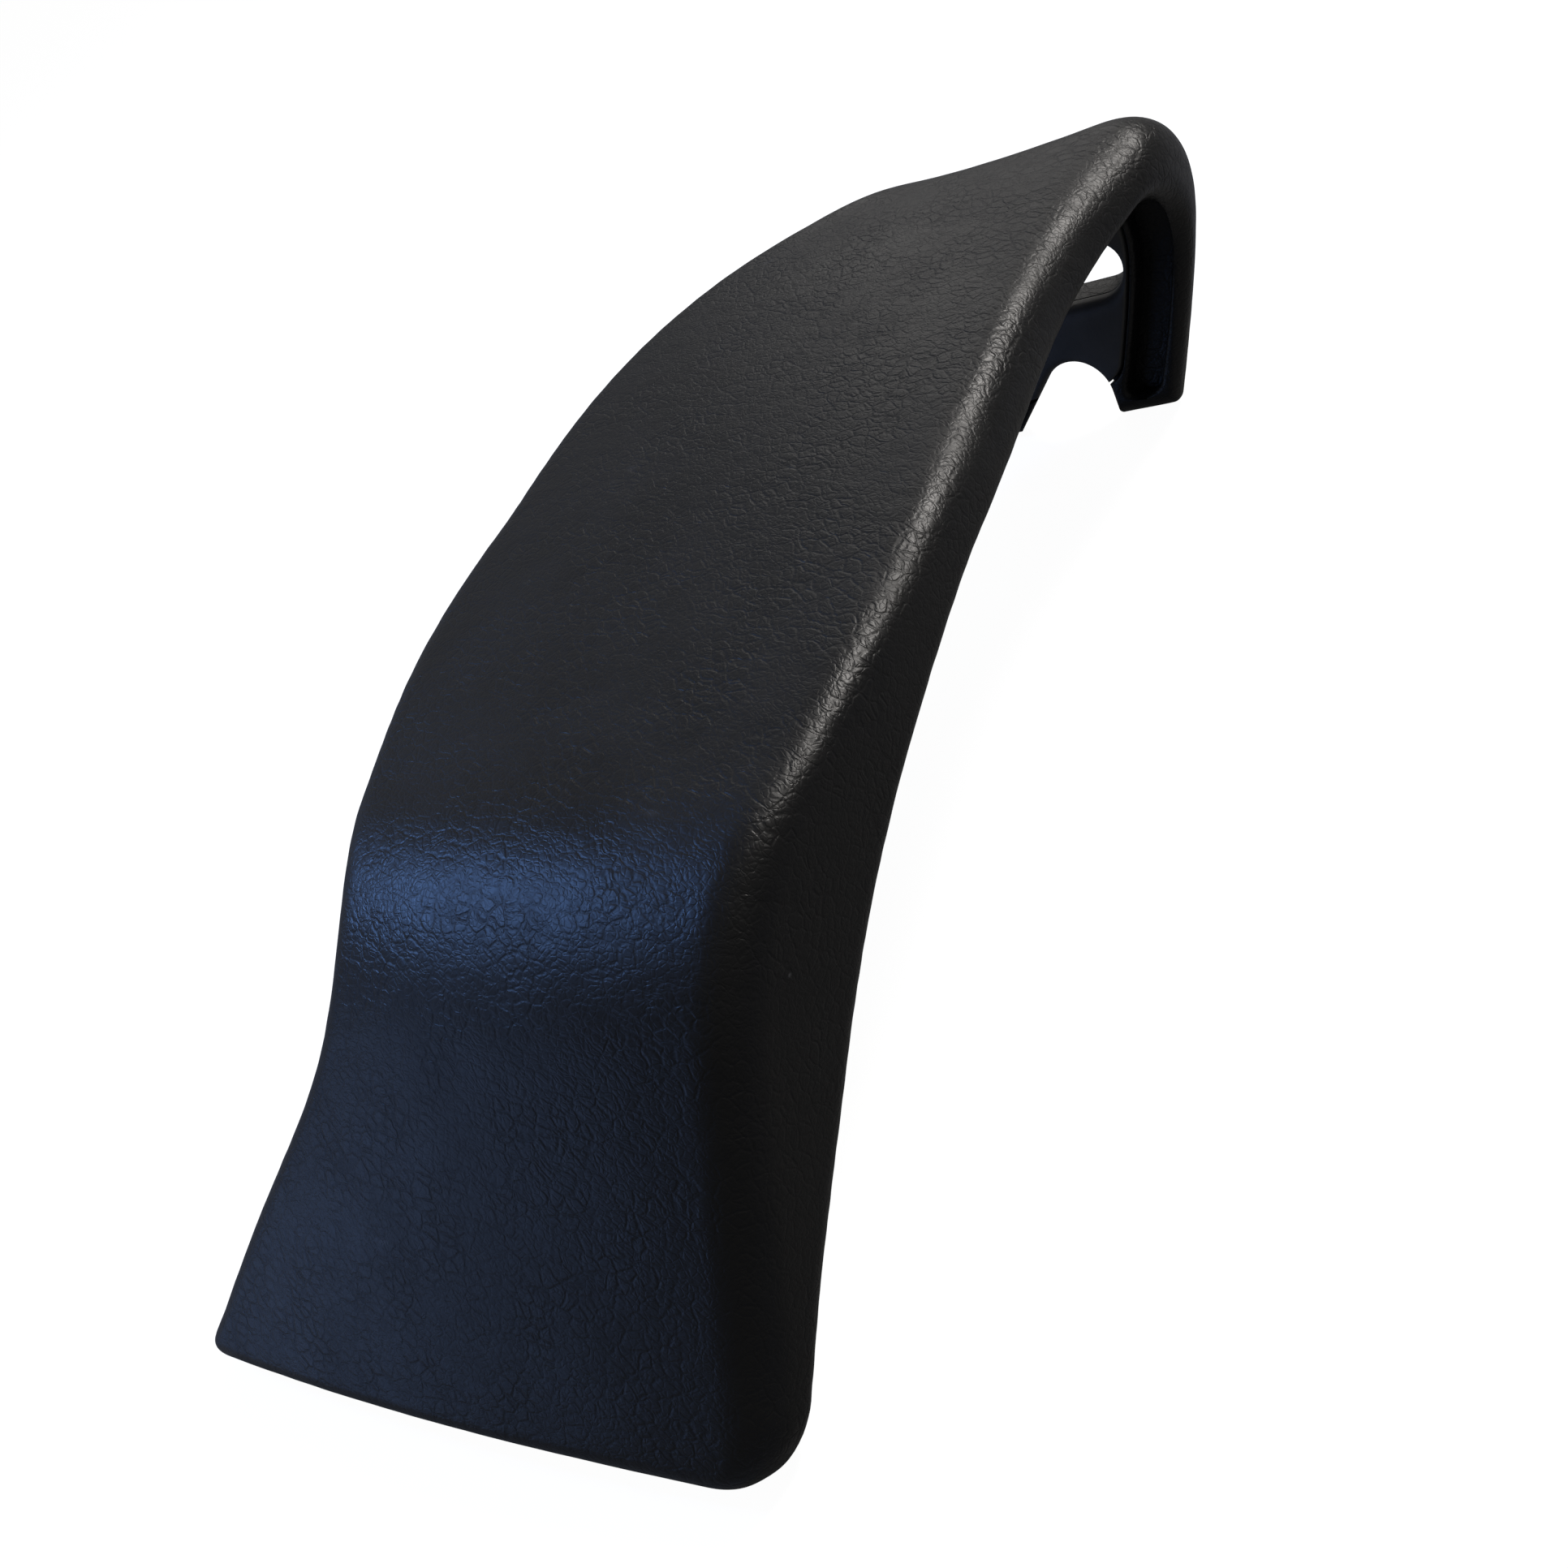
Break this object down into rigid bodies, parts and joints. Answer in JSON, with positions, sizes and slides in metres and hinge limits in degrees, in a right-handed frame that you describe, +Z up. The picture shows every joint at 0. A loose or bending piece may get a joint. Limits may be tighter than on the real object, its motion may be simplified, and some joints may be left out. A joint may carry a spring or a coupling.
{
  "type": "chair armrest pad",
  "caption": "Self-skinned foam armrest pad with a sloping flared nose and a raked rear leg, moulded round a nylon carrier with threaded inserts below.",
  "frame": {"origin": "centre of the bounding box in plan, on the ground under the nose and the rear feet", "axes": "+Y to the rear along the level run, +Z up, +X to the right of someone who sits in the chair and looks towards -Y"},
  "size_m": [0.134, 0.248, 0.064],
  "materials": {
    "moulded_skin": "semi-matte self-skinned polyurethane with a fine leather grain",
    "foam": "moulded flexible foam, hidden inside the skin",
    "nylon": "fine spark-eroded texture on glass-filled nylon",
    "zinc_steel": "zinc-plated sheet and rivets",
    "brass": "turned brass"
  },
  "bodies": {
    "root": {"outer_skin": "moulded_skin", "foam_core": "foam", "carrier": "nylon", "spine_strap": "zinc_steel", "strap_rivet_1": "zinc_steel", "strap_rivet_2": "zinc_steel", "strap_rivet_3": "zinc_steel", "strap_rivet_4": "zinc_steel", "strap_rivet_5": "zinc_steel", "insert_front_left": "brass", "insert_front_right": "brass", "insert_rear_left": "brass", "insert_rear_right": "brass"}
  },
  "joints": []
}
